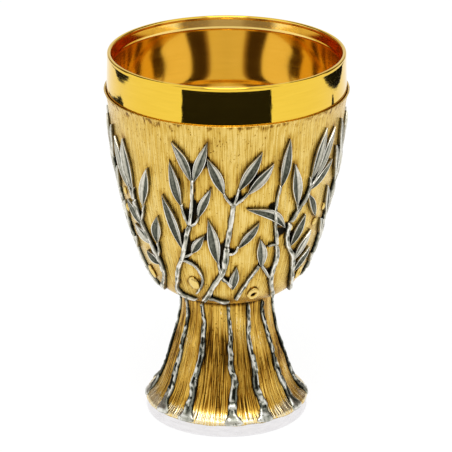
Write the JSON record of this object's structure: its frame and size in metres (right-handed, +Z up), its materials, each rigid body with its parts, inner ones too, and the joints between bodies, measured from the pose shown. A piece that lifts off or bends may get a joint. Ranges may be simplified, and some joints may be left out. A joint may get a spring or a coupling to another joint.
{
  "type": "communion chalice",
  "caption": "Communion chalice: a polished gilt cup in a tooled gilt calyx with silver olive sprigs, on a bark-textured trumpet foot with a silver ring.",
  "frame": {"origin": "centre of the foot ring's resting face", "axes": "+Z up along the chalice's axis, -Y towards the front of the olive pattern"},
  "size_m": [0.1146, 0.1146, 0.18],
  "materials": {
    "polished_gilt": "mirror-polished gilt",
    "calyx_gilt": "satin gilt casting with fine upright tooling and dark patina",
    "foot_gilt": "gilt casting with deep bark-like grooves and dark patina",
    "sprig_silver": "oxidised silver with bright edges",
    "branch_silver": "pitted oxidised silver",
    "ring_silver": "bright brushed silver",
    "boss_brass": "turned",
    "fixing_steel": "zinc plated"
  },
  "bodies": {
    "stand": {"calyx": "calyx_gilt", "foot": "foot_gilt", "foot_branch_01": "branch_silver", "foot_branch_02": "branch_silver", "foot_branch_03": "branch_silver", "foot_branch_04": "branch_silver", "foot_branch_05": "branch_silver", "foot_branch_06": "branch_silver", "foot_branch_07": "branch_silver", "foot_branch_08": "branch_silver", "foot_branch_09": "branch_silver", "foot_branch_10": "branch_silver", "foot_branch_11": "branch_silver", "foot_branch_12": "branch_silver", "foot_ring": "ring_silver", "locating_pin": "boss_brass", "sprig_01": "sprig_silver", "sprig_02": "sprig_silver", "sprig_03": "sprig_silver", "sprig_04": "sprig_silver", "sprig_05": "sprig_silver", "sprig_06": "sprig_silver", "sprig_07": "sprig_silver", "sprig_08": "sprig_silver", "sprig_09": "sprig_silver", "sprig_10": "sprig_silver", "sprig_11": "sprig_silver", "sprig_12": "sprig_silver", "sprig_13": "sprig_silver", "sprig_14": "sprig_silver"},
    "cup_assembly": {"cup": "polished_gilt", "cup_boss": "boss_brass", "tie_rod": "fixing_steel"},
    "washers": {"washer": "fixing_steel", "spring_washer": "fixing_steel"},
    "nut": {"nut": "fixing_steel"}
  },
  "joints": [
    {"name": "cup_lift", "type": "slide", "parent": "stand", "child": "cup_assembly", "axis": [0, 0, 1], "range_m": [0, 0.125]},
    {"name": "nut_travel", "type": "slide", "parent": "stand", "child": "washers", "axis": [0, 0, -1], "range_m": [0, 0.01]},
    {"name": "nut_turn", "type": "hinge", "parent": "washers", "child": "nut", "pos_m": [0, 0, 0.0487], "axis": [0, 0, -1], "range_deg": [0, 3600]}
  ],
  "couplings": [
    {"joint": "nut_turn", "follows": "nut_travel", "rad_per_m": 6283.2}
  ]
}
